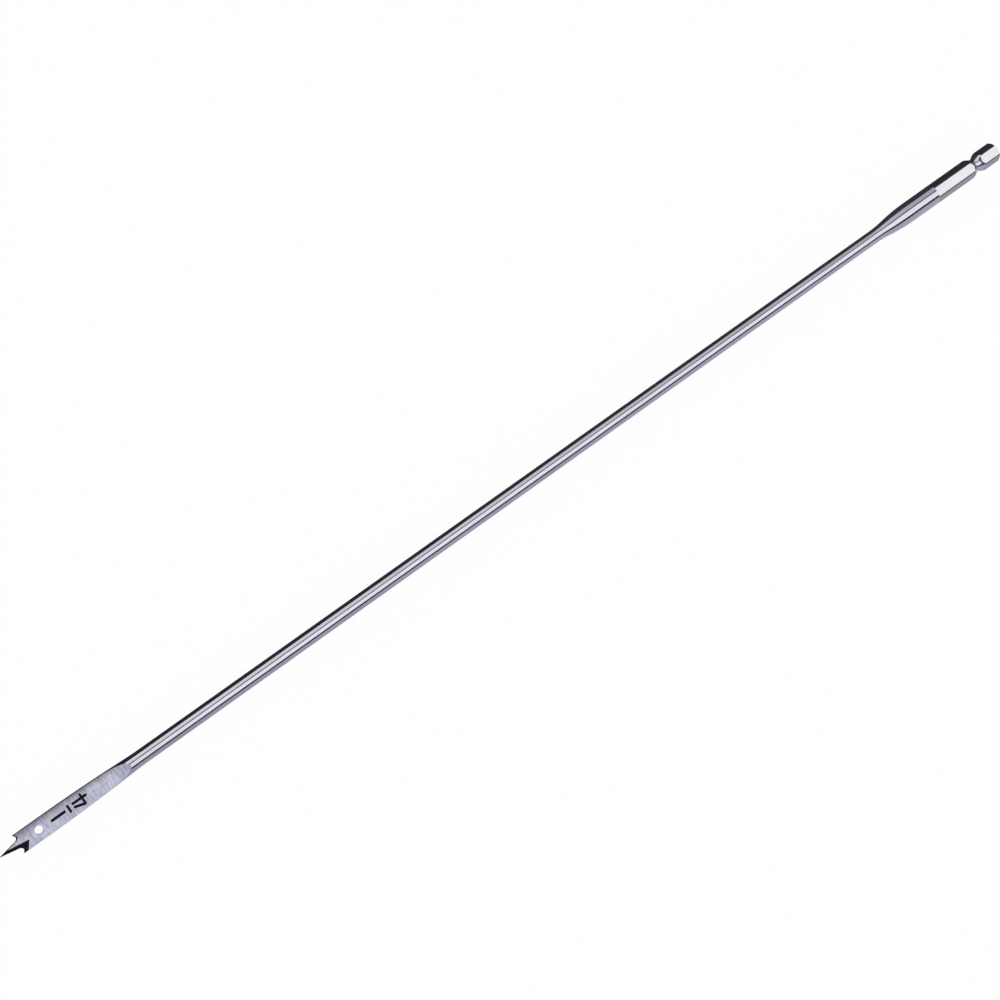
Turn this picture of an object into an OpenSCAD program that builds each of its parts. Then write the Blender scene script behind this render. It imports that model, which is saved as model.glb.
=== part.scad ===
// Long spade bit for boring wood, made from one bar of steel.
// It lies along X with its blade flat: the point is at -X, and the end of the shank is at the origin.
// It cuts as it turns right-handed, seen from the shank: each half of the blade leads with one face.

/* [Overall] */
// Length from the point to the end of the shank
overall_l = 406.4; // [250:0.1:600]
// Diameter of the round stem
stem_d = 4.7; // [4:0.05:5.5]

/* [Blade] */
// Width over the side edges, which is the size of hole that the bit bores
blade_w = 6.35; // [5.8:0.05:8]
// Thickness between the two ground flats
blade_t = 2.2; // [1.6:0.05:2.8]
// Distance from the point over which the side edges are parallel
edge_l = 16; // [12:0.5:24]
// Length over which the side edges draw in to the stem
edge_taper_l = 34.5; // [24:0.5:50]
// Share of that length that curves out into the stem
edge_hollow_share = 0.19; // [0.1:0.01:0.5]
// Distance from the point to where the flats start to rise
flat_l = 36.5; // [26:0.5:55]
// Radius of the curve in which the flats rise to the stem
flat_end_r = 30; // [5:0.5:40]
// Diameter of the hole through the blade
hole_d = 2.6; // [1.5:0.1:3]
// Distance from the point to the middle of the hole
hole_from_point = 13.3; // [12.5:0.1:20]

/* [Point and spurs] */
// Distance from the point to the tips of the spurs
point_l = 6; // [4.5:0.1:8]
// Angle between the two flanks of the point
point_angle = 21; // [16:0.5:24]
// Thickness of the point at its tip, before it is hollowed
point_tip_t = 0.9; // [0.6:0.05:1.4]
// Distance from the tip over which the point thins
point_thin_l = 9.5; // [7:0.1:11]
// Width of each spur at its root
spur_w = 0.95; // [0.6:0.05:1.2]
// Depth of the notch behind the tips of the spurs
notch_depth = 0.6; // [0.3:0.05:1]
// Radius in which each cutting lip sweeps round from the notch to the point
lip_r = 1.05; // [0.6:0.05:1.2]
// Angle to the axis at which the lip runs out on the flank of the point
lip_run_angle = 15; // [13:0.5:20]
// Relief behind the flanks of the point
flank_relief_angle = 9; // [5:0.5:14]
// Relief behind the lips and spurs
lip_relief_angle = 16; // [8:0.5:18]

/* [Hollow in each leading face] */
// Distance from the point to the inner corner of the hollow
hollow_l = 9.6; // [8.5:0.1:10.5]
// Distance of that corner from the axis, on the hollow's own side
hollow_off = 0.55; // [0.4:0.05:1.2]
// Distance past the axis at which the hollow's inner line would meet the tip
hollow_tip_off = 0.8; // [0:0.01:0.9]
// Distance from the point to where the hollow leaves the side edge
hollow_edge_l = 7.6; // [7.2:0.1:9]
// Depth of the hollow at its inner corner
hollow_depth = 0.85; // [0.6:0.05:0.95]
// Slope of its floor, down towards the axis
hollow_side_angle = 12; // [8:0.5:13]
// Slope of its floor, down towards the shank
hollow_back_angle = 1.5; // [1:0.5:3]

/* [Shank] */
// Diameter of the collar, on which the corners of the hexagon lie too
collar_d = 7.05; // [6.6:0.05:7.2]
// Length of the collar before the hexagon
collar_l = 11.3; // [5:0.1:30]
// Length over which the stem swells to the collar
collar_swell_l = 17; // [8:0.5:30]
// Share of that length that curves up from the stem
collar_hollow_share = 0.35; // [0.2:0.01:0.6]
// Width of the hexagon across its flats
hex_af = 6.3; // [6.2:0.01:6.5]
// Length of the hexagon
hex_l = 30; // [24:0.1:40]
// Distance from the end of the shank to the middle of the groove
groove_from_end = 10.4; // [8:0.1:16]
// Diameter at the bottom of the groove
groove_d = 4.6; // [4.4:0.05:5.2]
// Radius at the bottom of the groove
groove_r = 0.9; // [0.5:0.05:1.5]
// Angle of the groove's walls to the axis
groove_angle = 27; // [20:1:45]
// Length of the chamfer at the end of the shank
end_chamfer_l = 1.1; // [0.5:0.1:2]
// Diameter of the end face inside the chamfer
end_face_d = 3.9; // [3:0.1:5.5]

/* [Hidden] */

$fn = 96;
// Segments in the long side arcs, which are small parts of very large circles
long_arc_fn = 3600;
// Turn of the bar about its axis that keeps the start of its revolve clear of the flats' rounded ends
seam_turn = 75;
// How far a cut runs past the surface that it opens
over = 1;
// Size of the blocks that cut the point, larger than the point in every direction
block = 60;

stem_r = stem_d / 2;
blade_r = blade_w / 2;
half_t = blade_t / 2;
collar_r = collar_d / 2;

taper_end = edge_l + edge_taper_l;
hex_start = overall_l - hex_l;
collar_start = hex_start - collar_l;
swell_start = collar_start - collar_swell_l;

notch_x = point_l + notch_depth;
notch_y = blade_r - spur_w;
thin_angle = atan((half_t - point_tip_t / 2) / point_thin_l);

// Both halves of the blade are alike, turned half round about the axis
module both_halves() {
    children();
    rotate([180, 0, 0]) children();
}

// Half section that swells from r_low to r_high along an S of two arcs, level at both ends
module swell(length, r_low, r_high, hollow_share) {
    rise = r_high - r_low;
    arcs_r = (length * length + rise * rise) / (2 * rise);
    hollow_r = hollow_share * arcs_r;
    crown_r = arcs_r - hollow_r;
    meet = hollow_share * length;
    difference() {
        square([r_high, meet]);
        translate([r_low + hollow_r, 0]) circle(r = hollow_r, $fn = long_arc_fn);
    }
    intersection() {
        translate([0, meet]) square([r_high + over, length - meet]);
        translate([r_high - crown_r, length]) circle(r = crown_r, $fn = long_arc_fn);
    }
}

// Section of the groove that a chuck's ball drops into: straight walls and a round bottom
module groove_section() {
    centre_r = groove_d / 2 + groove_r;
    wall_r = centre_r - groove_r * cos(groove_angle);
    wall_half = groove_r * sin(groove_angle);
    mouth_r = collar_r + over;
    mouth_half = wall_half + (mouth_r - wall_r) / tan(groove_angle);
    polygon([
        [wall_r, -wall_half],
        [mouth_r, -mouth_half],
        [mouth_r, mouth_half],
        [wall_r, wall_half]
    ]);
    translate([centre_r, 0]) circle(r = groove_r);
}

// Half section of the whole bit as a turned bar, from the point at 0 up to the end of the shank
module turned_section() {
    square([blade_r, edge_l]);
    translate([0, taper_end]) mirror([0, 1]) swell(edge_taper_l, stem_r, blade_r, edge_hollow_share);
    translate([0, taper_end]) square([stem_r, swell_start - taper_end]);
    translate([0, swell_start]) swell(collar_swell_l, stem_r, collar_r, collar_hollow_share);
    difference() {
        polygon([
            [0, collar_start],
            [collar_r, collar_start],
            [collar_r, overall_l - end_chamfer_l],
            [end_face_d / 2, overall_l],
            [0, overall_l]
        ]);
        translate([0, overall_l - groove_from_end]) groove_section();
    }
}

// What is milled off the bar to leave the hexagon, with a flat facing up
module hexagon_waste() {
    translate([0, 0, hex_start]) rotate([0, 0, 30]) difference() {
        cylinder(r = collar_r + over, h = hex_l + over);
        translate([0, 0, -over]) cylinder(d = hex_af / cos(30), h = hex_l + 3 * over, $fn = 6);
    }
}

// The bar along X, with its swells, collar, groove and hexagon
module bar() {
    rotate([0, 90, 0]) difference() {
        rotate([0, 0, seam_turn]) rotate_extrude() turned_section();
        hexagon_waste();
    }
}

// What is ground off one face to leave a flat that runs out on the stem
module flat_waste() {
    rotate([90, 0, 0]) linear_extrude(height = 2 * blade_w, center = true) {
        translate([-over, half_t]) square([flat_l + over, flat_end_r]);
        intersection() {
            translate([flat_l, half_t + flat_end_r]) circle(r = flat_end_r);
            translate([flat_l, half_t - over]) square([flat_end_r + over, flat_end_r + over]);
        }
    }
}

// What is ground off one face to thin the point
module thinning_waste() {
    translate([0, 0, point_tip_t / 2]) rotate([0, -thin_angle, 0])
        translate([-block / 2, -block / 2, 0]) cube([block / 2 + point_thin_l / cos(thin_angle), block, block]);
}

// Plan of what lies ahead of one lip and its spur, from the bottom of the notch between them at 0
module lip_section() {
    sweep = 90 - lip_run_angle;
    run_out = [-sin(sweep), cos(sweep)];
    lip_end = lip_r * [cos(sweep) - 1, sin(sweep)];
    spur_out = [-notch_depth / spur_w, -1];
    intersection() {
        translate([-lip_r, 0]) circle(r = lip_r);
        polygon([[-lip_r, 0], [lip_r, 0], [lip_r, 2 * lip_r], lip_end + over * [cos(sweep), sin(sweep)]]);
    }
    polygon([
        [0, 0],
        [-lip_r, 0],
        lip_end,
        lip_end + block / 2 * run_out,
        [-block / 2, -blade_w],
        blade_w * spur_out
    ]);
}

// What lies outside one flank of the point, ahead of its lip and spur, with relief behind their edges
module flank_waste() {
    intersection() {
        rotate([flank_relief_angle, 0, -point_angle / 2])
            translate([-block / 2, -block, -block / 2]) cube(block);
        translate([notch_x, -notch_y, half_t]) rotate([0, -lip_relief_angle, 0])
            linear_extrude(height = block, center = true) lip_section();
    }
}

// Hollow ground in one leading face, so that the lip and flank cut with a hook
module hollow_waste() {
    corner = [hollow_l, -hollow_off];
    tip_end = [0, hollow_tip_off];
    edge = [hollow_edge_l, -blade_r];
    ahead = 1.2 * tip_end - 0.2 * corner;
    past_edge = 2 * edge - corner;
    intersection() {
        linear_extrude(height = block) polygon([ahead, corner, past_edge, [ahead[0], past_edge[1]]]);
        translate([hollow_l, -hollow_off, half_t - hollow_depth]) rotate([-hollow_side_angle, hollow_back_angle, 0])
            translate([-block / 2, -block / 2, 0]) cube(block);
    }
}

module hole() {
    translate([hole_from_point, 0, 0]) cylinder(d = hole_d, h = blade_t + 2 * over, center = true);
}

module spade_bit() {
    color("#BDBECB") translate([-overall_l, 0, 0]) difference() {
        bar();
        both_halves() {
            flat_waste();
            thinning_waste();
            flank_waste();
            hollow_waste();
        }
        hole();
    }
}

spade_bit();
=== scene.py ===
"""Long spade bit for wood: its ground, drawn and milled steel and its size mark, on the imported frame."""

import math

import bmesh
import bpy
from bpy.props import FloatProperty, FloatVectorProperty, IntProperty, PointerProperty
from bpy.types import Operator, Panel, PropertyGroup
from mathutils import Euler, Matrix, Vector


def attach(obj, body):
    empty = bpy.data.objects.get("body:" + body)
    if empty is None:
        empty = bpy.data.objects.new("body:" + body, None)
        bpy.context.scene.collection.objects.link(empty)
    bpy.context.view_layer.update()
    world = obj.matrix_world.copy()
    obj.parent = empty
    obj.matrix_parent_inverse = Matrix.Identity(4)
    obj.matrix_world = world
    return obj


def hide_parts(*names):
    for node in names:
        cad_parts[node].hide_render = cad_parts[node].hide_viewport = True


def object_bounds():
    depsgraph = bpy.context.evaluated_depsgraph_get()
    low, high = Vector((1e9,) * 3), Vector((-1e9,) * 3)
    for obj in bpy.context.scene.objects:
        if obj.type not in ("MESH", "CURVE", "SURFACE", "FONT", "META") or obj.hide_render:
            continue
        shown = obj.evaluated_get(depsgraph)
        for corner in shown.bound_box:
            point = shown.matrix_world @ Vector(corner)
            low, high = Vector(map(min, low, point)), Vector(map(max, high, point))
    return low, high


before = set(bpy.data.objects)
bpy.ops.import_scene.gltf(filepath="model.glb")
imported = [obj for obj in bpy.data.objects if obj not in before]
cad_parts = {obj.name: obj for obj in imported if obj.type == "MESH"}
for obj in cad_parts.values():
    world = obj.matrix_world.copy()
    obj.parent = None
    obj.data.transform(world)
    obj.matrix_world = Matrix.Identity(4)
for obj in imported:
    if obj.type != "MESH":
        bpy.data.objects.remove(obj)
cad_low, cad_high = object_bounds()

bl_info = {
    "name": "Long spade bit",
    "version": (1, 0, 0),
    "blender": (4, 5, 0),
    "location": "View3D > Sidebar > Spade bit",
    "description": "Models a long spade bit with its ground point, hexagon shank and size mark",
    "category": "Mesh",
}

BODY = "root"
BIT_NODE = "spade_bit"
X_AXIS = Vector((1, 0, 0))
Z_AXIS = Vector((0, 0, 1))
# Distance below which two points of a mesh are one, far under any size of the bit
WELD = 1e-8
# Share of a face's normal along an axis from which the face counts as square to it
SQUARE_ON = 0.99
# Angle between two faces up to which they are shaded as one round surface
ROUND_ANGLE = math.radians(24)
# Share of the hexagon's width, as a radius, past which the groove's walls get painted shade
RIM_SHADE_SHARE = 0.45

# Marks that each tool leaves on the steel: cells of noise to the metre along each axis, in its lines and in
# the clouds over them, the depth of the lines, and the share by which the clouds darken the steel
DRAWN_MARKS = {"lines": (60, 2200, 2200), "clouds": (40, 300, 300), "depth": 0.0000004, "clouding": 0.06}
MILLED_MARKS = {"lines": (120, 2600, 2600), "clouds": (90, 500, 500), "depth": 0.0000005, "clouding": 0.06}
FLAT_MARKS = {"lines": (3400, 420, 420), "clouds": (110, 260, 260), "depth": 0.000004, "clouding": 0.3}
HOLLOW_MARKS = {"lines": (2600, 400, 400), "clouds": (300, 300, 300), "depth": 0.000004, "clouding": 0.15}
EDGE_MARKS = {"lines": (2600, 120, 120), "clouds": (300, 300, 300), "depth": 0.000001, "clouding": 0.15}
# Fineness of the noise in the lines and in the clouds, and strength of the lines' relief
LINE_DETAIL = 3.0
CLOUD_DETAIL = 2.0
LINE_RELIEF = 0.35
# Cells to the metre of the thin places in the ink, their relief and its depth, and the shine of the ink
INK_BLOTS = (2600, 2600, 2600)
INK_RELIEF = 0.2
INK_DEPTH = 0.000004
INK_SHINE = 0.1
# Values between which lines, clouds and blots, roughness, and the band of painted shade and the cards, run
# from end to end
LINE_RANGE = (0.32, 0.68)
CLOUD_RANGE = (0.35, 0.65)
ROUGHNESS_RANGE = (0.3, 0.7)
WHOLE_RANGE = (0.0, 1.0)
# Share by which roughness varies on both sides of its mean
ROUGHNESS_SPREAD = 0.15
# Place, from the point, and half the length, width and thickness of the band of painted shade along one edge
# of the blade
SHADE_PLACE = (0.020, 0.0029, 0.0)
SHADE_SIZE = (0.08, 0.0026, 0.02)
# Share of its brightness that the steel loses in the middle of that band of painted shade
SHADE_DEPTH = 0.7
# Places along the bit between which a card's colour changes
CARD_NEAR_X = -0.35
CARD_FAR_X = 0.5


def distance(name, description, default):
    """A length in metres that a user may change."""
    return FloatProperty(
        name=name, description=description, default=default, min=0.0, precision=5,
        unit="LENGTH", subtype="DISTANCE"
    )


def turn(name, description, degrees):
    """An angle that a user may change."""
    return FloatProperty(
        name=name, description=description, default=math.radians(degrees), unit="ROTATION", subtype="ANGLE"
    )


def tint(name, description, default):
    """A colour that a user may change."""
    return FloatVectorProperty(
        name=name, description=description, default=default, size=3, min=0.0, max=1.0, subtype="COLOR"
    )


def share(name, description, default):
    """A plain number up to one, such as a roughness or a strength."""
    return FloatProperty(
        name=name, description=description, default=default, min=0.0, max=1.0, subtype="FACTOR"
    )


class BitSizes(PropertyGroup):
    """Sizes of the steel bit, as its solid has them."""

    overall_l: distance("Overall length", "From the point to the end of the shank", cad_high.x - cad_low.x)
    stem_d: distance("Stem diameter", "Diameter of the round stem", 0.0047)

    blade_w: distance("Blade width", "Width over the side edges", 0.00635)
    blade_t: distance("Blade thickness", "Thickness between the two ground flats", 0.0022)
    edge_l: distance("Side edges", "Distance from the point over which the side edges are parallel", 0.016)
    edge_taper_l: distance("Side taper", "Length over which the side edges draw in to the stem", 0.0345)
    edge_hollow_share: share(
        "Side taper hollow", "Share of the side taper that curves out into the stem", 0.19
    )
    flat_l: distance("Flats", "Distance from the point to where the flats start to rise", 0.0365)
    flat_end_r: distance("Flat end radius", "Radius of the curve in which the flats rise to the stem", 0.03)
    hole_d: distance("Hole diameter", "Diameter of the hole through the blade", 0.0026)
    hole_from_point: distance("Hole place", "Distance from the point to the middle of the hole", 0.0133)

    point_l: distance("Point length", "Distance from the point to the tips of the spurs", 0.006)
    point_angle: turn("Point angle", "Angle between the two flanks of the point", 21)
    point_tip_t: distance("Point thickness", "Thickness of the point at its tip", 0.0009)
    point_thin_l: distance("Point thinning", "Distance from the tip over which the point thins", 0.0095)
    spur_w: distance("Spur width", "Width of each spur at its root", 0.00095)
    notch_depth: distance("Notch depth", "Depth of the notch behind the tips of the spurs", 0.0006)
    lip_r: distance(
        "Lip radius", "Radius in which each lip sweeps round from the notch to the point", 0.00105
    )
    lip_run_angle: turn(
        "Lip run-out", "Angle to the axis at which the lip runs out on the flank of the point", 15
    )
    flank_relief_angle: turn("Flank relief", "Relief behind the flanks of the point", 9)
    lip_relief_angle: turn("Lip relief", "Relief behind the lips and spurs", 16)

    hollow_l: distance("Hollow length", "Distance from the point to the inner corner of the hollow", 0.0096)
    hollow_off: distance("Hollow offset", "Distance of the hollow's inner corner from the axis", 0.00055)
    hollow_tip_off: distance(
        "Hollow at tip", "Distance past the axis at which its line meets the tip", 0.0008
    )
    hollow_edge_l: distance(
        "Hollow at edge", "Distance from the point to where the hollow leaves the edge", 0.0076
    )
    hollow_depth: distance("Hollow depth", "Depth of the hollow at its inner corner", 0.00085)
    hollow_side_angle: turn("Hollow side slope", "Slope of the hollow's floor, down towards the axis", 12)
    hollow_back_angle: turn("Hollow back slope", "Slope of the hollow's floor, down towards the shank", 1.5)

    collar_d: distance(
        "Collar diameter", "Diameter of the collar and of the hexagon's corners", cad_high.y - cad_low.y
    )
    collar_l: distance("Collar length", "Length of the collar before the hexagon", 0.0113)
    collar_swell_l: distance("Collar swell", "Length over which the stem swells to the collar", 0.017)
    collar_hollow_share: share("Swell hollow", "Share of the swell that curves up from the stem", 0.35)
    hex_af: distance("Hexagon", "Width of the hexagon across its flats", 0.0063)
    hex_l: distance("Hexagon length", "Length of the hexagon", 0.03)
    groove_from_end: distance("Groove place", "From the end of the shank to the middle of the groove", 0.0104)
    groove_d: distance("Groove diameter", "Diameter at the bottom of the groove", 0.0046)
    groove_r: distance("Groove radius", "Radius at the bottom of the groove", 0.0009)
    groove_angle: turn("Groove angle", "Angle of the groove's walls to the axis", 27)
    end_chamfer_l: distance("End chamfer", "Length of the chamfer at the end of the shank", 0.0011)
    end_face_d: distance("End face", "Diameter of the end face inside the chamfer", 0.0039)

    sides: IntProperty(
        name="Sides", description="Sides of the bar's round sections", default=128, min=24, max=256
    )
    curve_steps: IntProperty(name="Curve steps", description="Steps in each curve", default=20, min=6, max=64)


class MarkSizes(PropertyGroup):
    """Sizes of the size mark on the blade, which reads with the point up."""

    stroke_w: distance("Stroke width", "Width of the strokes", 0.00076)
    proud: distance("Thickness", "Height of the ink over the flat", 0.000012)
    seat: distance("Seat", "Depth that the ink keys into the grain of the flat", 0.000008)


class BitFinish(PropertyGroup):
    """Colours and finish of the steel and the ink."""

    flat_light: tint("Flat, light", "Bright lines of the ground flats", (0.72, 0.72, 0.875))
    flat_dark: tint("Flat, dark", "Dull lines of the ground flats", (0.42, 0.42, 0.545))
    flat_roughness: share("Flat roughness", "Mean roughness of the ground flats", 0.34)
    # The hollow colours are painted shade: steel far darker than ground steel, so that the hollows, the
    # relief faces and the hole's wall read dark
    hollow_shade_light: tint("Hollow, light", "Bright lines of the ground hollows and edges", (0.16, 0.155, 0.20))
    hollow_shade_dark: tint("Hollow, dark", "Dull lines of the ground hollows and edges", (0.09, 0.085, 0.115))
    hollow_roughness: share("Hollow roughness", "Mean roughness of the hollows and edges", 0.2)
    stem_light: tint("Stem, light", "Bright lines of the drawn stem", (0.72, 0.72, 0.80))
    stem_dark: tint("Stem, dark", "Dull lines of the drawn stem", (0.62, 0.62, 0.70))
    stem_roughness: share("Stem roughness", "Mean roughness of the drawn stem", 0.11)
    hexagon_light: tint("Hexagon, light", "Bright lines of the milled hexagon", (0.77, 0.77, 0.81))
    hexagon_dark: tint("Hexagon, dark", "Dull lines of the milled hexagon", (0.70, 0.70, 0.74))
    hexagon_roughness: share("Hexagon roughness", "Mean roughness of the milled hexagon", 0.12)
    # The side flats' colours are a darker copy of the hexagon's: painted shade on the flats that face aside
    side_shade_light: tint("Side flats, light", "Bright lines of the hexagon's side flats", (0.52, 0.52, 0.55))
    side_shade_dark: tint("Side flats, dark", "Dull lines of the hexagon's side flats", (0.47, 0.47, 0.50))
    # The edge colours are painted shade: near-black steel on the hexagon's corners and on the groove's rims
    # by its main flats
    edge_shade_light: tint(
        "Edges, light", "Bright lines of the hexagon's corners and groove rims", (0.16, 0.16, 0.18)
    )
    edge_shade_dark: tint("Edges, dark", "Dull lines of the hexagon's corners and groove rims", (0.09, 0.09, 0.11))
    edge_roughness: share("Edge roughness", "Mean roughness of the corners and rims", 0.3)
    ink_light: tint("Ink, light", "Thin places of the ink", (0.006, 0.005, 0.010))
    ink_dark: tint("Ink, dark", "Full places of the ink", (0.002, 0.002, 0.004))
    ink_roughness: share("Ink roughness", "Mean roughness of the ink", 0.7)


class StudioSettings(PropertyGroup):
    """Floor, light and camera."""

    camera_place: FloatVectorProperty(
        name="Camera", description="Place of the camera", default=(-0.39898, 0.049401, 0.6069),
        subtype="TRANSLATION"
    )
    camera_target: FloatVectorProperty(
        name="Target", description="Point in the middle of the picture", default=(-0.22002, 0.000547, 0.0),
        subtype="TRANSLATION"
    )
    camera_roll: turn("Slant", "Angle at which the bit rises to the right in the picture", 35.38)
    lens: FloatProperty(
        name="Lens", description="Focal length of the camera, in millimetres", default=72.0, min=20.0
    )
    floor_colour: tint("Floor", "Colour of the floor", (0.93, 0.93, 0.935))
    floor_white: share("Floor white", "Share of plain white in the floor, over which its shadow shows", 0.95)
    room_light: share("Room light", "Strength of the white room on matt surfaces", 0.92)
    overhead: FloatProperty(
        name="Overhead light", description="Power of the large overhead softbox", default=1.8, min=0.0,
        unit="POWER"
    )


def drop_selection():
    """Leaves every object unselected, in object mode."""
    if bpy.context.object is not None and bpy.context.object.mode != "OBJECT":
        bpy.ops.object.mode_set(mode="OBJECT")
    bpy.ops.object.select_all(action="DESELECT")


def take_up(piece):
    """Makes one object the only selected one and the active one."""
    drop_selection()
    piece.select_set(True)
    bpy.context.view_layer.objects.active = piece


def edit(piece):
    """Starts to edit one object's mesh."""
    take_up(piece)
    bpy.ops.object.mode_set(mode="EDIT")


def end_edit():
    """Ends the editing of a mesh."""
    bpy.ops.object.mode_set(mode="OBJECT")


def settle():
    """Takes the newly added primitive, named later, to the origin with its place in its mesh."""
    bpy.ops.object.transform_apply(location=True, rotation=True, scale=True)
    return bpy.context.object


def pick(piece, kind, test):
    """Selects only the points, edges or faces of the edited mesh that pass a test."""
    bpy.ops.mesh.select_mode(type={"verts": "VERT", "edges": "EDGE", "faces": "FACE"}[kind])
    bpy.ops.mesh.select_all(action="DESELECT")
    mesh = bmesh.from_edit_mesh(piece.data)
    items = getattr(mesh, kind)
    items.ensure_lookup_table()
    for item in items:
        if test(item):
            item.select_set(True)
    mesh.select_flush_mode()
    bmesh.update_edit_mesh(piece.data)


def extrude(move):
    """Extrudes what is selected along a move."""
    bpy.ops.mesh.extrude_region_move(TRANSFORM_OT_translate={"value": move})


def outward_faces():
    """Turns the faces of the edited mesh outwards."""
    bpy.ops.mesh.select_all(action="SELECT")
    bpy.ops.mesh.remove_doubles(threshold=WELD)
    bpy.ops.mesh.normals_make_consistent(inside=False)


def outlined_face(name, corners):
    """A flat face through the given corners, from a small circle whose points are moved one by one."""
    start_r = 0.001
    drop_selection()
    bpy.ops.mesh.primitive_circle_add(vertices=len(corners), radius=start_r, fill_type="NGON")
    piece = settle()
    piece.name = name
    edit(piece)
    for index, corner in enumerate(corners):
        pick(piece, "verts", lambda point: point.index == index)
        start = bmesh.from_edit_mesh(piece.data).verts[index].co.copy()
        bpy.ops.transform.translate(value=corner - start)
    end_edit()
    return piece


def prism(name, corners, move):
    """A prism on a flat face."""
    piece = outlined_face(name, corners)
    edit(piece)
    bpy.ops.mesh.select_all(action="SELECT")
    extrude(move)
    outward_faces()
    end_edit()
    return piece


def slice_off(piece, place, normal):
    """Cuts off what lies on a plane's outer side, and closes the cut."""
    edit(piece)
    bpy.ops.mesh.select_all(action="SELECT")
    bpy.ops.mesh.bisect(plane_co=place, plane_no=normal, use_fill=True, clear_outer=True, threshold=WELD)
    outward_faces()
    end_edit()


def half_turned_copy(piece):
    """A copy with its own mesh, turned half round about the bit's axis."""
    take_up(piece)
    bpy.ops.object.duplicate(linked=False)
    copy = bpy.context.object
    edit(copy)
    bpy.ops.mesh.select_all(action="SELECT")
    bpy.ops.transform.rotate(value=math.pi, orient_axis="X", center_override=(0, 0, 0))
    end_edit()
    return copy


def combine(piece, tool, operation):
    """Cuts a tool out of a piece or joins it on, with the tool's finish on the faces that it leaves."""
    take_up(piece)
    bpy.ops.object.modifier_add(type="BOOLEAN")
    modifier = piece.modifiers[-1]
    modifier.operation = operation
    modifier.solver = "EXACT"
    modifier.material_mode = "TRANSFER"
    modifier.object = tool
    bpy.ops.object.modifier_apply(modifier=modifier.name)
    bpy.data.objects.remove(tool)


def cut(piece, tool, finish):
    """Cuts a tool out of a piece, and leaves a finish on the faces of the cut."""
    tool.data.materials.append(finish)
    combine(piece, tool, "DIFFERENCE")


def cut_both_halves(piece, tool, finish):
    """Makes the same cut in both halves of the blade."""
    other = half_turned_copy(tool)
    cut(piece, tool, finish)
    cut(piece, other, finish)


def new_material(name):
    """An empty node material with its Principled shader."""
    material = bpy.data.materials.new(name)
    material.use_nodes = True
    nodes = material.node_tree.nodes
    nodes.clear()
    shader = nodes.new("ShaderNodeBsdfPrincipled")
    output = nodes.new("ShaderNodeOutputMaterial")
    material.node_tree.links.new(shader.outputs["BSDF"], output.inputs["Surface"])
    return material, shader


def object_noise(material, detail, cells):
    """Noise on object coordinates, with a number of cells to the metre along each axis."""
    nodes = material.node_tree.nodes
    links = material.node_tree.links
    place = nodes.new("ShaderNodeTexCoord")
    mapping = nodes.new("ShaderNodeMapping")
    mapping.inputs["Scale"].default_value = cells
    noise = nodes.new("ShaderNodeTexNoise")
    noise.inputs["Scale"].default_value = 1.0
    noise.inputs["Detail"].default_value = detail
    links.new(place.outputs["Object"], mapping.inputs["Vector"])
    links.new(mapping.outputs["Vector"], noise.inputs["Vector"])
    return noise.outputs["Fac"]


def ramp(material, value, span, first, last):
    """Colours from first to last as a value runs over a span."""
    node = material.node_tree.nodes.new("ShaderNodeValToRGB")
    for element, position, colour in zip(node.color_ramp.elements, span, (first, last)):
        element.position = position
        element.color = (*colour, 1)
    material.node_tree.links.new(value, node.inputs["Fac"])
    return node.outputs["Color"]


def varied_roughness(material, value, mean):
    """Roughness that follows a noise on both sides of its mean."""
    node = material.node_tree.nodes.new("ShaderNodeMapRange")
    node.inputs["From Min"].default_value = ROUGHNESS_RANGE[0]
    node.inputs["From Max"].default_value = ROUGHNESS_RANGE[1]
    node.inputs["To Min"].default_value = mean * (1 - ROUGHNESS_SPREAD)
    node.inputs["To Max"].default_value = mean * (1 + ROUGHNESS_SPREAD)
    material.node_tree.links.new(value, node.inputs["Value"])
    return node.outputs["Result"]


def relief(material, value, strength, depth):
    """Small relief that follows a noise."""
    node = material.node_tree.nodes.new("ShaderNodeBump")
    node.inputs["Strength"].default_value = strength
    node.inputs["Distance"].default_value = depth
    material.node_tree.links.new(value, node.inputs["Height"])
    return node.outputs["Normal"]


def multiplied(material, first, second):
    """The product of two colours."""
    node = material.node_tree.nodes.new("ShaderNodeMix")
    node.data_type = "RGBA"
    node.blend_type = "MULTIPLY"
    node.inputs["Factor"].default_value = 1.0
    # A Mix node has sockets of the same name for each kind of data, and these are its colours
    first_colour = node.inputs[6]
    second_colour = node.inputs[7]
    product = node.outputs[2]
    material.node_tree.links.new(first, first_colour)
    material.node_tree.links.new(second, second_colour)
    return product


def mottled(material, colour, cloud, depth):
    """A colour that slow clouds darken by up to a share."""
    low = 1 - depth
    return multiplied(material, colour, ramp(material, cloud, CLOUD_RANGE, (low, low, low), (1, 1, 1)))


def painted_shade_band(material, colour, place):
    """A colour with painted shade, which fades towards the middle of the soft-edged band along one edge of
    the blade.
    """
    nodes = material.node_tree.nodes
    links = material.node_tree.links
    where = nodes.new("ShaderNodeTexCoord")
    mapping = nodes.new("ShaderNodeMapping")
    mapping.vector_type = "TEXTURE"
    mapping.inputs["Location"].default_value = place
    mapping.inputs["Scale"].default_value = SHADE_SIZE
    band = nodes.new("ShaderNodeTexGradient")
    band.gradient_type = "QUADRATIC_SPHERE"
    links.new(where.outputs["Object"], mapping.inputs["Vector"])
    links.new(mapping.outputs["Vector"], band.inputs["Vector"])
    low = 1 - SHADE_DEPTH
    fade = ramp(material, band.outputs["Fac"], WHOLE_RANGE, (1, 1, 1), (low, low, low))
    return multiplied(material, colour, fade)


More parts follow.
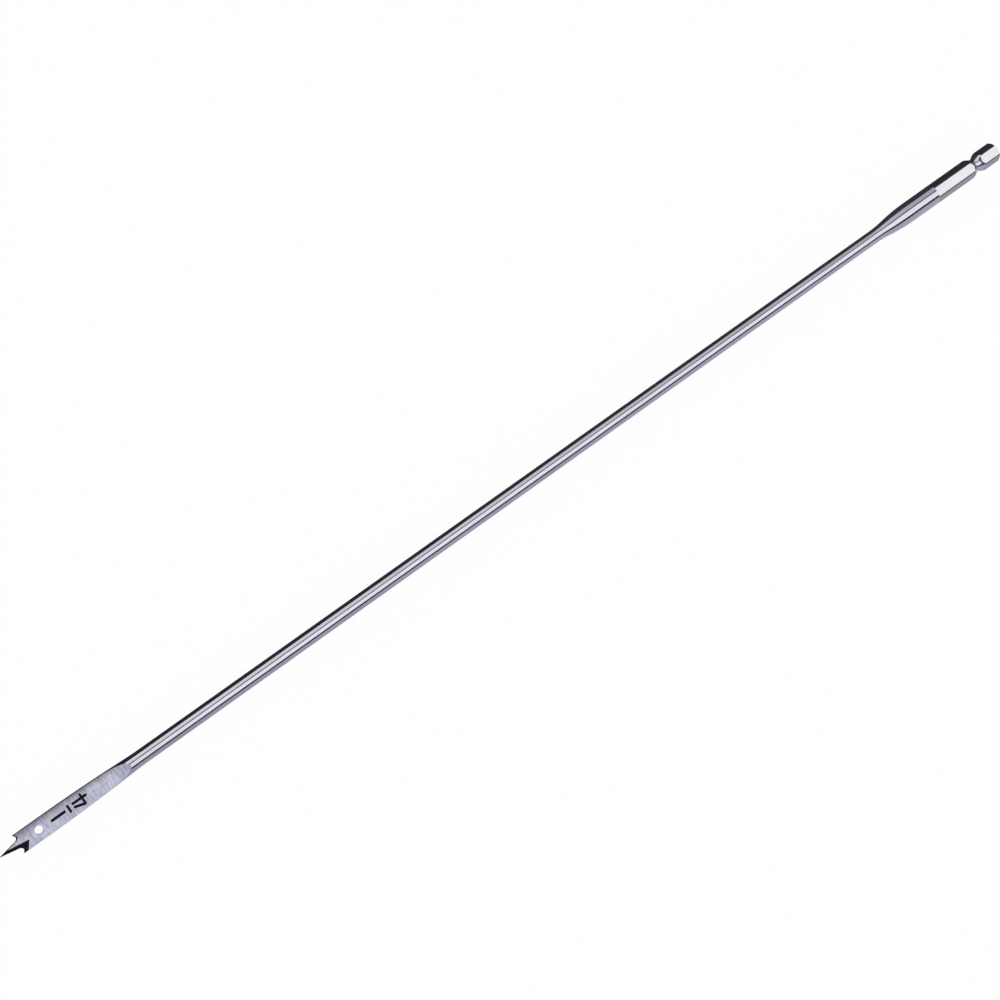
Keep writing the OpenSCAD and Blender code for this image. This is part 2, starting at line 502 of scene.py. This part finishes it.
def steel_finish(name, light, dark, roughness, marks, shade_place=None):
    """Steel with the lines of its tool, clouds over them, and a band of painted shade where one is placed."""
    material, shader = new_material(name)
    links = material.node_tree.links
    grain = object_noise(material, LINE_DETAIL, marks["lines"])
    cloud = object_noise(material, CLOUD_DETAIL, marks["clouds"])
    shader.inputs["Metallic"].default_value = 1.0
    colour = mottled(material, ramp(material, grain, LINE_RANGE, dark, light), cloud, marks["clouding"])
    if shade_place is not None:
        colour = painted_shade_band(material, colour, shade_place)
    links.new(colour, shader.inputs["Base Color"])
    links.new(varied_roughness(material, cloud, roughness), shader.inputs["Roughness"])
    links.new(relief(material, grain, LINE_RELIEF, marks["depth"]), shader.inputs["Normal"])
    return material


def ink_finish(name, light, dark, roughness):
    """Dull black ink, a little thinner in places."""
    material, shader = new_material(name)
    links = material.node_tree.links
    blots = object_noise(material, LINE_DETAIL, INK_BLOTS)
    shader.inputs["Specular IOR Level"].default_value = INK_SHINE
    links.new(ramp(material, blots, CLOUD_RANGE, dark, light), shader.inputs["Base Color"])
    links.new(varied_roughness(material, blots, roughness), shader.inputs["Roughness"])
    links.new(relief(material, blots, INK_RELIEF, INK_DEPTH), shader.inputs["Normal"])
    return material


def swell_radius(along, length, low, high, hollow_share):
    """Radius at a distance from the low end of an S of two arcs, level at both ends."""
    rise = high - low
    arcs_r = (length * length + rise * rise) / (2 * rise)
    hollow_r = hollow_share * arcs_r
    crown_r = arcs_r - hollow_r
    if along < hollow_share * length:
        return low + hollow_r - math.sqrt(hollow_r * hollow_r - along * along)
    rest = length - along
    return high - crown_r + math.sqrt(crown_r * crown_r - rest * rest)


def bar_sections(sizes):
    """Distance from the point and radius of each section of the bar, before anything is ground off it."""
    blade_r = sizes.blade_w / 2
    stem_r = sizes.stem_d / 2
    collar_r = sizes.collar_d / 2
    steps = sizes.curve_steps
    taper_end = sizes.edge_l + sizes.edge_taper_l
    collar_start = sizes.overall_l - sizes.hex_l - sizes.collar_l
    swell_start = collar_start - sizes.collar_swell_l
    sections = [(0.0, blade_r), (sizes.edge_l, blade_r)]
    for step in range(1, steps + 1):
        along = sizes.edge_taper_l * (1 - step / steps)
        radius = swell_radius(along, sizes.edge_taper_l, stem_r, blade_r, sizes.edge_hollow_share)
        sections.append((taper_end - along, radius))
    stem_parts = 12
    for step in range(1, stem_parts + 1):
        sections.append((taper_end + (swell_start - taper_end) * step / stem_parts, stem_r))
    for step in range(1, steps + 1):
        along = sizes.collar_swell_l * step / steps
        radius = swell_radius(along, sizes.collar_swell_l, stem_r, collar_r, sizes.collar_hollow_share)
        sections.append((swell_start + along, radius))
    sections.append((sizes.overall_l - sizes.hex_l, collar_r))
    sections.extend(groove_sections(sizes))
    sections.append((sizes.overall_l - sizes.end_chamfer_l, collar_r))
    sections.append((sizes.overall_l, sizes.end_face_d / 2))
    return sections


def groove_rim_radius(sizes):
    """Radius past which the groove's walls get painted shade."""
    return sizes.hex_af * RIM_SHADE_SHARE


def groove_sections(sizes):
    """Sections of the groove that a chuck's ball drops into: straight walls and a round bottom."""
    middle = sizes.overall_l - sizes.groove_from_end
    collar_r = sizes.collar_d / 2
    centre_r = sizes.groove_d / 2 + sizes.groove_r
    wall_r = centre_r - sizes.groove_r * math.cos(sizes.groove_angle)
    wall_half = sizes.groove_r * math.sin(sizes.groove_angle)
    mouth_half = wall_half + (collar_r - wall_r) / math.tan(sizes.groove_angle)
    rim_r = groove_rim_radius(sizes)
    rim_half = wall_half + (rim_r - wall_r) / math.tan(sizes.groove_angle)
    steps = sizes.curve_steps // 2
    sections = [(middle - mouth_half, collar_r), (middle - rim_half, rim_r)]
    for step in range(steps + 1):
        angle = sizes.groove_angle * (2 * step / steps - 1)
        place = middle + sizes.groove_r * math.sin(angle)
        sections.append((place, centre_r - sizes.groove_r * math.cos(angle)))
    sections.append((middle + rim_half, rim_r))
    sections.append((middle + mouth_half, collar_r))
    return sections


def turned_bar(sizes):
    """The bar along the axis, drawn out of a disc at the point, section by section."""
    sections = bar_sections(sizes)
    here, radius = sections[0]
    drop_selection()
    bpy.ops.mesh.primitive_circle_add(
        vertices=sizes.sides, radius=radius, fill_type="NGON", location=(here - sizes.overall_l, 0, 0),
        rotation=(0, math.pi / 2, 0)
    )
    bar = settle()
    bar.name = "bit"
    edit(bar)
    bpy.ops.mesh.select_all(action="SELECT")
    for place, wide in sections[1:]:
        extrude((place - here, 0, 0))
        growth = wide / radius
        if growth != 1.0:
            centre = (place - sizes.overall_l, 0, 0)
            bpy.ops.transform.resize(value=(1, growth, growth), center_override=centre)
        here = place
        radius = wide
    outward_faces()
    end_edit()
    return bar


def from_point(sizes, place):
    """A place measured from the tip of the point, in the frame."""
    return Vector((place[0] - sizes.overall_l, place[1], place[2]))


def flat_tool(sizes):
    """The block that grinds one flat, with a round end that lets it run out on the stem."""
    over = 0.001
    half_t = sizes.blade_t / 2
    half_w = sizes.blade_w
    corners = [
        from_point(sizes, (-over, -half_w, half_t)),
        from_point(sizes, (sizes.flat_l, -half_w, half_t)),
        from_point(sizes, (sizes.flat_l, -half_w, half_t + sizes.flat_end_r)),
        from_point(sizes, (-over, -half_w, half_t + sizes.flat_end_r)),
    ]
    tool = prism("flat_tool", corners, (0, 2 * half_w, 0))
    end_x = corners[1].x
    edit(tool)
    pick(tool, "faces", lambda face: face.normal.x > SQUARE_ON)
    bpy.ops.mesh.spin(
        steps=2 * sizes.curve_steps, angle=math.pi / 2, center=(end_x, 0, corners[2].z), axis=(0, 1, 0)
    )
    outward_faces()
    end_edit()
    return tool


def flank_tool(sizes):
    """The wedge that leaves one flank of the point, its lip and its spur, with relief behind their edges."""
    reach = 0.02
    notch = from_point(sizes, (
        sizes.point_l + sizes.notch_depth, sizes.spur_w - sizes.blade_w / 2, sizes.blade_t / 2
    ))
    sweep = math.pi / 2 - sizes.lip_run_angle
    plan = []
    for step in range(sizes.curve_steps + 1):
        angle = sweep * step / sizes.curve_steps
        plan.append(Vector((math.cos(angle) - 1, math.sin(angle), 0)) * sizes.lip_r)
    plan.append(plan[-1] + Vector((-math.sin(sweep), math.cos(sweep), 0)) * reach)
    plan.append(Vector((-reach, -sizes.blade_w, 0)))
    plan.append(Vector((-sizes.notch_depth / sizes.spur_w, -1, 0)) * sizes.blade_w)
    tilt = Euler((0, -sizes.lip_relief_angle, 0)).to_matrix()
    deep = tilt @ (Z_AXIS * reach)
    corners = [notch + tilt @ corner - deep / 2 for corner in plan]
    tool = prism("flank_tool", corners, deep)
    lean = Matrix.Rotation(-sizes.point_angle / 2, 3, "Z")
    flank = lean @ Matrix.Rotation(sizes.flank_relief_angle, 3, "X")
    slice_off(tool, from_point(sizes, (0, 0, 0)), flank @ Vector((0, 1, 0)))
    return tool


def hollow_tool(sizes):
    """The wheel's edge that hollows one leading face, so that the lip and flank cut with a hook."""
    reach = 0.01
    lead = 0.2
    corner = Vector((sizes.hollow_l, -sizes.hollow_off, 0))
    edge = Vector((sizes.hollow_edge_l, -sizes.blade_w / 2, 0))
    past_edge = 2 * edge - corner
    ahead = (1 + lead) * Vector((0, sizes.hollow_tip_off, 0)) - lead * corner
    plan = [ahead, corner, past_edge, Vector((ahead.x, past_edge.y, 0))]
    tool = prism("hollow_tool", [from_point(sizes, place) for place in plan], Z_AXIS * reach)
    slope = Euler((-sizes.hollow_side_angle, sizes.hollow_back_angle, 0)).to_matrix()
    floor_place = (sizes.hollow_l, -sizes.hollow_off, sizes.blade_t / 2 - sizes.hollow_depth)
    slice_off(tool, from_point(sizes, floor_place), slope @ -Z_AXIS)
    return tool


def hole_tool(sizes):
    """The drill for the hole through the blade."""
    drop_selection()
    bpy.ops.mesh.primitive_cylinder_add(
        vertices=sizes.sides // 2, radius=sizes.hole_d / 2, depth=2 * sizes.blade_t,
        location=from_point(sizes, (sizes.hole_from_point, 0, 0))
    )
    return settle()


def hexagon_tool(sizes):
    """The sleeve that mills the hexagon, with a flat facing up."""
    over = 0.001
    outer_share = 2
    drop_selection()
    bpy.ops.mesh.primitive_circle_add(
        vertices=6, radius=sizes.hex_af / 2 / math.cos(math.pi / 6), fill_type="NOTHING",
        location=(-sizes.hex_l, 0, 0), rotation=(0, math.pi / 2, 0)
    )
    tool = settle()
    edit(tool)
    bpy.ops.mesh.select_all(action="SELECT")
    extrude((0, 0, 0))
    bpy.ops.transform.resize(value=(1, outer_share, outer_share), center_override=(-sizes.hex_l, 0, 0))
    bpy.ops.mesh.select_all(action="SELECT")
    extrude((sizes.hex_l + over, 0, 0))
    outward_faces()
    end_edit()
    return tool


def thin_point(bit, sizes):
    """Thins the point on both faces, from the flats to its tip."""
    half_t = sizes.blade_t / 2
    half_tip = sizes.point_tip_t / 2
    angle = math.atan((half_t - half_tip) / sizes.point_thin_l)
    for side in (1, -1):
        place = from_point(sizes, (0, 0, side * half_tip))
        slice_off(bit, place, Vector((-math.sin(angle), 0, side * math.cos(angle))))


def finish_thinned_faces(bit, sizes, finish):
    """Gives the thinned faces of the point the finish of the flats."""
    slot = bit.data.materials.find(finish.name)
    edge = sizes.point_thin_l - sizes.overall_l
    for face in bit.data.polygons:
        if face.center.x < edge and abs(face.normal.z) > SQUARE_ON and face.material_index == 0:
            face.material_index = slot


def paint_shank_shade(bit, sizes, sides, edges):
    """Gives the hexagon's four side flats, its corners and its groove's rims their own darker finishes, which
    are painted shade.
    """
    # Most of a level face's normal, and least of a groove wall's, that lies along the axis
    level_most = 0.05
    wall_least = 0.2
    # Least of a main flat's normal that is upright, and least ratio of height to side on its groove's rims
    main_flat_least = 0.9
    main_rim_least = 2.2
    rim_r = groove_rim_radius(sizes)
    for finish in (sides, edges):
        bit.data.materials.append(finish)
    side_shade_slot = bit.data.materials.find(sides.name)
    edge_shade_slot = bit.data.materials.find(edges.name)
    for face in bit.data.polygons:
        if face.center.x < -sizes.hex_l:
            continue
        radius = face.center.yz.length
        turned = face.material_index == 0
        level = abs(face.normal.x) < level_most
        sloping = abs(face.normal.x) > wall_least
        in_groove = abs(face.center.x + sizes.groove_from_end) < sizes.groove_d
        by_main_flat = abs(face.center.z) > main_rim_least * abs(face.center.y)
        faces_aside = abs(face.normal.z) < main_flat_least
        rim = sloping and in_groove and by_main_flat and radius > rim_r
        corner = level and turned and radius > sizes.hex_af / 2
        # Painted shade: near-black corners and rims, and darker side flats
        if rim or corner:
            face.material_index = edge_shade_slot
        elif level and faces_aside and not turned and radius > sizes.groove_d / 2:
            face.material_index = side_shade_slot


class SPADE_OT_bit(Operator):
    """Model the steel bit: turn the bar, grind the blade and point, and mill the hexagon"""

    bl_idname = "spade.bit"
    bl_label = "Steel bit"

    def execute(self, context):
        sizes = context.scene.bit_sizes
        look = context.scene.bit_finish
        stem = steel_finish(
            "drawn_stem", look.stem_light, look.stem_dark, look.stem_roughness, DRAWN_MARKS
        )
        # The flats carry a band of painted shade along one edge of the blade
        flats = steel_finish(
            "ground_flats", look.flat_light, look.flat_dark, look.flat_roughness, FLAT_MARKS,
            from_point(sizes, SHADE_PLACE)
        )
        # Painted shade: the hollows, the relief behind the lips and flanks, and the hole's wall get
        # near-black steel
        hollows = steel_finish(
            "ground_hollows", look.hollow_shade_light, look.hollow_shade_dark, look.hollow_roughness, HOLLOW_MARKS
        )
        hexagon = steel_finish(
            "milled_hexagon", look.hexagon_light, look.hexagon_dark, look.hexagon_roughness, MILLED_MARKS
        )
        # Painted shade: a darker copy of the milled finish for the hexagon's side flats
        sides = steel_finish(
            "milled_sides", look.side_shade_light, look.side_shade_dark, look.hexagon_roughness, MILLED_MARKS
        )
        # Painted shade: near-black steel for the hexagon's corners and the groove's rims
        edges = steel_finish(
            "dull_edges", look.edge_shade_light, look.edge_shade_dark, look.edge_roughness, EDGE_MARKS
        )
        bit = turned_bar(sizes)
        bit.data.materials.append(stem)
        cut_both_halves(bit, flat_tool(sizes), flats)
        thin_point(bit, sizes)
        finish_thinned_faces(bit, sizes, flats)
        cut_both_halves(bit, flank_tool(sizes), hollows)
        cut_both_halves(bit, hollow_tool(sizes), hollows)
        cut(bit, hole_tool(sizes), hollows)
        cut(bit, hexagon_tool(sizes), hexagon)
        paint_shank_shade(bit, sizes, sides, edges)
        take_up(bit)
        bpy.ops.object.shade_smooth_by_angle(angle=ROUND_ANGLE)
        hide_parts(BIT_NODE)
        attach(bit, BODY)
        return {"FINISHED"}


def ink_stroke(name, start, end, width_share, sizes, mark):
    """One stroke of the mark with rounded ends, on the upper flat, between two places from the point."""
    corner_share = 0.8
    corner_steps = 5
    first = Vector(start)
    last = Vector(end)
    along = (last - first).normalized()
    half = mark.stroke_w / 2 * width_share
    across = Vector((-along.y, along.x)) * half
    low = sizes.blade_t / 2 - mark.seat
    plan = [first - across, last - across, last + across, first + across]
    piece = outlined_face(name, [from_point(sizes, (corner.x, corner.y, low)) for corner in plan])
    edit(piece)
    bpy.ops.mesh.select_all(action="SELECT")
    bpy.ops.mesh.bevel(
        offset=half * corner_share, offset_type="OFFSET", segments=corner_steps, affect="VERTICES"
    )
    bpy.ops.mesh.select_all(action="SELECT")
    extrude((0, 0, mark.seat + mark.proud))
    outward_faces()
    end_edit()
    return piece


class SPADE_OT_mark(Operator):
    """Print the size of the bit on the upper flat of the blade"""

    bl_idname = "spade.mark"
    bl_label = "Size mark"

    def execute(self, context):
        sizes = context.scene.bit_sizes
        mark_sizes = context.scene.mark_sizes
        look = context.scene.bit_finish
        # Start and end of each stroke, from the point, and its share of the width of a stroke
        strokes = [
            ((0.0174, 0.0), (0.0225, 0.00002), 1.15),
            ((0.0237, 0.00128), (0.0237, -0.00135), 1.0),
            ((0.0250, 0.00055), (0.0302, 0.00055), 1.12),
            ((0.0285, 0.00194), (0.0285, -0.00176), 1.0),
            ((0.0287, -0.00160), (0.0250, -0.00050), 1.08),
        ]
        mark = None
        for start, end, width_share in strokes:
            stroke = ink_stroke("size_mark", start, end, width_share, sizes, mark_sizes)
            if mark is None:
                mark = stroke
            else:
                combine(mark, stroke, "UNION")
        ink = ink_finish("mark_ink", look.ink_light, look.ink_dark, look.ink_roughness)
        mark.data.materials.clear()
        mark.data.materials.append(ink)
        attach(mark, BODY)
        return {"FINISHED"}


def glow_material(name, near, far):
    """A card's colour, as metal sees it, which may change from the point's end to the shank's."""
    material = bpy.data.materials.new(name)
    material.use_nodes = True
    nodes = material.node_tree.nodes
    nodes.clear()
    glow = nodes.new("ShaderNodeEmission")
    glow.inputs["Color"].default_value = (*near, 1)
    output = nodes.new("ShaderNodeOutputMaterial")
    material.node_tree.links.new(glow.outputs["Emission"], output.inputs["Surface"])
    if near != far:
        place = nodes.new("ShaderNodeTexCoord")
        parts = nodes.new("ShaderNodeSeparateXYZ")
        material.node_tree.links.new(place.outputs["Object"], parts.inputs["Vector"])
        along = nodes.new("ShaderNodeMapRange")
        along.inputs["From Min"].default_value = CARD_NEAR_X
        along.inputs["From Max"].default_value = CARD_FAR_X
        material.node_tree.links.new(parts.outputs["X"], along.inputs["Value"])
        colours = ramp(material, along.outputs["Result"], WHOLE_RANGE, near, far)
        material.node_tree.links.new(colours, glow.inputs["Color"])
    return material


def seen_in_picture(tree):
    """1 for rays from the camera and for rays that metal or glass passes on."""
    rays = tree.nodes.new("ShaderNodeLightPath")
    value = rays.outputs["Is Camera Ray"]
    for name in ("Is Glossy Ray", "Is Transmission Ray"):
        higher = tree.nodes.new("ShaderNodeMath")
        higher.operation = "MAXIMUM"
        tree.links.new(value, higher.inputs[0])
        tree.links.new(rays.outputs[name], higher.inputs[1])
        value = higher.outputs["Value"]
    return value


def floor_material(studio):
    """Pale matt floor that is near white in the picture and keeps the shadow of the bit."""
    material = bpy.data.materials.new("pale_floor")
    material.use_nodes = True
    tree = material.node_tree
    tree.nodes.clear()
    matt = tree.nodes.new("ShaderNodeBsdfDiffuse")
    matt.inputs["Color"].default_value = (*studio.floor_colour, 1)
    white = tree.nodes.new("ShaderNodeEmission")
    white.inputs["Color"].default_value = (1, 1, 1, 1)
    part = tree.nodes.new("ShaderNodeMath")
    part.operation = "MULTIPLY"
    part.inputs[1].default_value = studio.floor_white
    tree.links.new(seen_in_picture(tree), part.inputs[0])
    mix = tree.nodes.new("ShaderNodeMixShader")
    tree.links.new(part.outputs["Value"], mix.inputs["Fac"])
    tree.links.new(matt.outputs["BSDF"], mix.inputs[1])
    tree.links.new(white.outputs["Emission"], mix.inputs[2])
    output = tree.nodes.new("ShaderNodeOutputMaterial")
    tree.links.new(mix.outputs["Shader"], output.inputs["Surface"])
    return material


def white_room(scene, studio):
    """White all round in the picture and in the metal, softer on matt surfaces."""
    world = bpy.data.worlds.new("white_room")
    world.use_nodes = True
    scene.world = world
    tree = world.node_tree
    tree.nodes.clear()
    soft = tree.nodes.new("ShaderNodeBackground")
    soft.inputs["Strength"].default_value = studio.room_light
    white = tree.nodes.new("ShaderNodeBackground")
    for background in (soft, white):
        background.inputs["Color"].default_value = (1, 1, 1, 1)
    mix = tree.nodes.new("ShaderNodeMixShader")
    tree.links.new(seen_in_picture(tree), mix.inputs["Fac"])
    tree.links.new(soft.outputs["Background"], mix.inputs[1])
    tree.links.new(white.outputs["Background"], mix.inputs[2])
    output = tree.nodes.new("ShaderNodeOutputWorld")
    tree.links.new(mix.outputs["Shader"], output.inputs["Surface"])


def reflection_card(name, corners, colour, far_colour=None):
    """A flat card beside the bit that only metal sees, as photographers set them."""
    card = outlined_face(name, [Vector(corner) for corner in corners])
    card.data.materials.append(glow_material(name, colour, far_colour or colour))
    card.visible_camera = False
    card.visible_diffuse = False
    card.visible_transmission = False
    card.visible_volume_scatter = False
    card.visible_shadow = False


def at_angle(degrees, away):
    """Y and Z at a distance from the axis and an angle from upright towards +Y."""
    angle = math.radians(degrees)
    return math.sin(angle) * away, math.cos(angle) * away


def long_card(name, near_angles, far_angles, span, colour, far_colour=None):
    """A card over the bit between two angles at each end of a span of X."""
    away = 0.9
    near = [(span[0], *at_angle(angle, away)) for angle in near_angles]
    far = [(span[1], *at_angle(angle, away)) for angle in reversed(far_angles)]
    reflection_card(name, near + far, colour, far_colour)


def spanned(span, inner, outer):
    """Corners of a card over a span of X, between Y and Z at its inner side and at its outer side."""
    return [(span[0], *inner), (span[1], *inner), (span[1], *outer), (span[0], *outer)]


def leaning_card(name, angle, span, colour, far_colour=None):
    """A wide card that leans out from under the bit at an angle, over a span of X."""
    reach = 1.3
    foot = Vector((0, -0.0034))
    outer = foot + Vector(at_angle(angle, reach))
    reflection_card(name, spanned(span, foot, outer), colour, far_colour)


def set_cards():
    """The dark and grey cards whose edges draw the bands along the steel."""
    dark = (0.032, 0.030, 0.038)
    whole = (-1.2, 1.6)
    leaning_card("dark_card", 69.5, whole, (0.028, 0.026, 0.034), (0.08, 0.076, 0.09))
    leaning_card("violet_card", -60, whole, (0.42, 0.42, 0.49), (0.70, 0.70, 0.79))
    long_card("line_card", (-37, -60), (-37, -60), whole, (0.02, 0.02, 0.027))
    long_card("gap_card", (5, 23), (20, 27.5), whole, (0.09, 0.09, 0.11))
    long_card("grey_card", (23, 69), (27.5, 69), whole, (1.0, 1.0, 1.0), (0.50, 0.50, 0.54))
    reflection_card("point_flag", spanned((-0.47, -0.347), (0.03, 0.30), (0.24, 0.27)), dark)
    reflection_card("under_card", spanned((-0.434, -0.372), (-0.3, -0.0022), (0.3, -0.0022)), dark)
    end = [(0.6, -0.9, -0.01), (0.6, 0.9, -0.01), (0.6, 0.9, 0.1), (0.6, -0.9, 0.1)]
    reflection_card("end_card", end, dark)


def flat_run_out(sizes):
    """Distance from the point at which the flats have run out on the taper, and the taper's radius there."""
    step = 0.00005
    stem_r = sizes.stem_d / 2
    blade_r = sizes.blade_w / 2
    taper_end = sizes.edge_l + sizes.edge_taper_l
    along = sizes.flat_l
    while True:
        past = along - sizes.flat_l
        height = sizes.blade_t / 2 + sizes.flat_end_r - math.sqrt(sizes.flat_end_r ** 2 - past ** 2)
        radius = swell_radius(taper_end - along, sizes.edge_taper_l, stem_r, blade_r, sizes.edge_hollow_share)
        if height >= radius:
            return along, radius
        along += step


def lay_floor(sizes, studio):
    """A pale floor that the bit lies on, on its collar and on the taper where the flats have run out."""
    floor_w = 40
    rest_along, rest_r = flat_run_out(sizes)
    rest_x = rest_along - sizes.overall_l
    collar_x = -sizes.hex_l - sizes.collar_l
    collar_z = -sizes.collar_d / 2
    pitch = math.atan2(-rest_r - collar_z, collar_x - rest_x)
    drop_selection()
    bpy.ops.mesh.primitive_plane_add(size=floor_w, location=(collar_x, 0, collar_z), rotation=(0, pitch, 0))
    floor = bpy.context.object
    floor.name = "floor"
    floor.data.materials.append(floor_material(studio))


def add_softbox(studio):
    """One large softbox overhead."""
    bpy.ops.object.light_add(type="AREA", location=(0.15, -0.25, 1.25))
    light = bpy.context.object
    light.name = "overhead_softbox"
    light.data.shape = "RECTANGLE"
    light.data.size = 2.2
    light.data.size_y = 1.7
    light.data.energy = studio.overhead
    light.visible_camera = False


def add_camera(scene, studio):
    """A camera over the point that takes the bit from corner to corner."""
    place = Vector(studio.camera_place)
    forward = (Vector(studio.camera_target) - place).normalized()
    along = (X_AXIS - forward * X_AXIS.dot(forward)).normalized()
    beside = along.cross(forward)
    right = along * math.cos(studio.camera_roll) - beside * math.sin(studio.camera_roll)
    up = along * math.sin(studio.camera_roll) + beside * math.cos(studio.camera_roll)
    bpy.ops.object.camera_add(location=place)
    camera = bpy.context.object
    camera.name = "camera"
    camera.rotation_euler = Matrix((right, up, -forward)).transposed().to_euler()
    camera.data.sensor_width = 36.0
    camera.data.lens = studio.lens
    camera.data.clip_start = 0.01
    scene.camera = camera


class SPADE_OT_stage(Operator):
    """Set the floor, the light, the reflection cards and the camera"""

    bl_idname = "spade.stage"
    bl_label = "Stage"

    def execute(self, context):
        scene = context.scene
        studio = scene.studio_settings
        drop_selection()
        add_camera(scene, studio)
        white_room(scene, studio)
        add_softbox(studio)
        lay_floor(scene.bit_sizes, studio)
        set_cards()
        scene.view_settings.view_transform = "Standard"
        return {"FINISHED"}


class SPADE_PT_sidebar(Panel):
    """The steps that model the bit, and what can be changed"""

    bl_label = "Long spade bit"
    bl_space_type = "VIEW_3D"
    bl_region_type = "UI"
    bl_category = "Spade bit"

    def draw(self, context):
        for step in (SPADE_OT_bit, SPADE_OT_mark, SPADE_OT_stage):
            self.layout.operator(step.bl_idname)
        for group in ("bit_sizes", "mark_sizes", "bit_finish", "studio_settings"):
            settings = getattr(context.scene, group)
            box = self.layout.box()
            for name in settings.__annotations__:
                box.prop(settings, name)


classes = (
    BitSizes,
    MarkSizes,
    BitFinish,
    StudioSettings,
    SPADE_OT_bit,
    SPADE_OT_mark,
    SPADE_OT_stage,
    SPADE_PT_sidebar,
)


def register():
    """Makes the operators, the panel and the settings known."""
    for each in classes:
        bpy.utils.register_class(each)
    bpy.types.Scene.bit_sizes = PointerProperty(type=BitSizes)
    bpy.types.Scene.mark_sizes = PointerProperty(type=MarkSizes)
    bpy.types.Scene.bit_finish = PointerProperty(type=BitFinish)
    bpy.types.Scene.studio_settings = PointerProperty(type=StudioSettings)


def unregister():
    """Takes them away again."""
    for name in ("studio_settings", "bit_finish", "mark_sizes", "bit_sizes"):
        delattr(bpy.types.Scene, name)
    for each in reversed(classes):
        bpy.utils.unregister_class(each)


def main():
    """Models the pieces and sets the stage."""
    register()
    bpy.ops.spade.bit()
    bpy.ops.spade.mark()
    bpy.ops.spade.stage()


if __name__ == "__main__":
    main()
